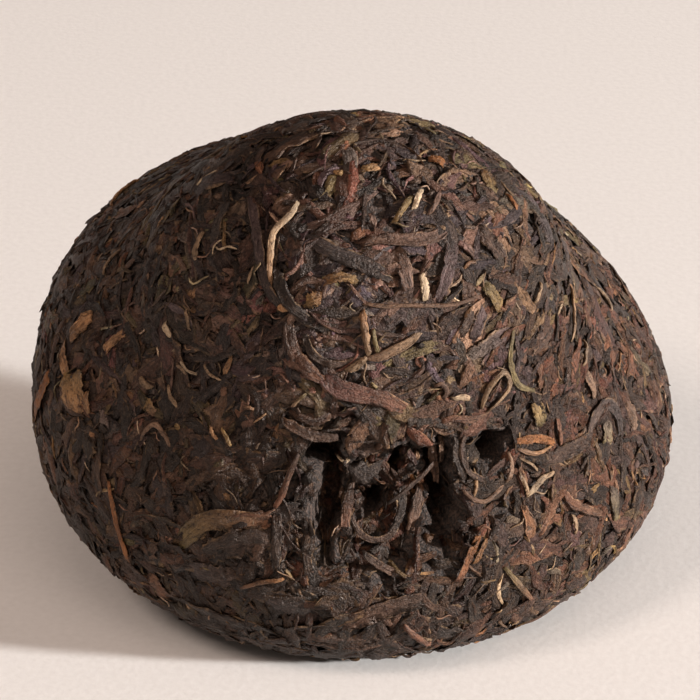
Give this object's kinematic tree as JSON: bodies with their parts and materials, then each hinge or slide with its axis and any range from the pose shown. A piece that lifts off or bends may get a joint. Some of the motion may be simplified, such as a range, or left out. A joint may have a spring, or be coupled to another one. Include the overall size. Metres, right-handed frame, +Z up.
{
  "type": "mushroom tuocha",
  "caption": "Compressed tea cake in the shape of a mushroom: a domed cap with a thick rounded stem, lying on its dome with the stem up and leaning forwards.",
  "frame": {"origin": "on the surface the cake rests on, under the middle of its box", "axes": "+Z up; the stem leans towards -Y, the front, and a little towards +X"},
  "size_m": [0.0929, 0.0859, 0.0743],
  "materials": {
    "pressed_tea": "matt dark brown pressed leaves with a faint purple sheen, and paler tan and red-brown twigs"
  },
  "bodies": {
    "root": {"tuocha": "pressed_tea"}
  },
  "joints": []
}
